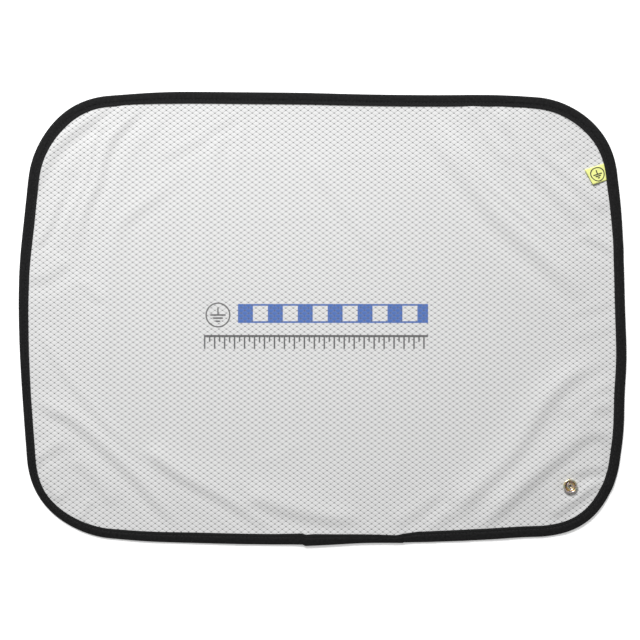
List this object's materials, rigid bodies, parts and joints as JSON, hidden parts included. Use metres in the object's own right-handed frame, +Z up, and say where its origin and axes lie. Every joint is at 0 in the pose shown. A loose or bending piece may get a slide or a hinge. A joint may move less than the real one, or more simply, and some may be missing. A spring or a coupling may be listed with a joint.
{
  "type": "anti static bench cover",
  "caption": "Flat dissipative cloth cover for an electronics bench, edged with folded tape, with an earthing snap near one corner and a sewn-in ribbon label.",
  "frame": {"origin": "centre of the cover on the bench surface that it lies on", "axes": "+X along the long side towards the snap and label end, +Y towards the label side, +Z up out of the face"},
  "size_m": [0.6096, 0.453, 0.0048],
  "materials": {
    "grid_fabric": "matt woven cloth with a diamond grid of dark conductive yarns",
    "binding_tape": "matt black woven tape, lockstitched",
    "label_ribbon": "pale yellow satin ribbon, plain mark",
    "snap_metal": "plated brass, slightly dulled in the bowl"
  },
  "bodies": {
    "root": {"cover_fabric": "grid_fabric", "edge_binding": "binding_tape", "label_tag": "label_ribbon", "snap_socket": "snap_metal", "snap_eyelet": "snap_metal"}
  },
  "joints": []
}
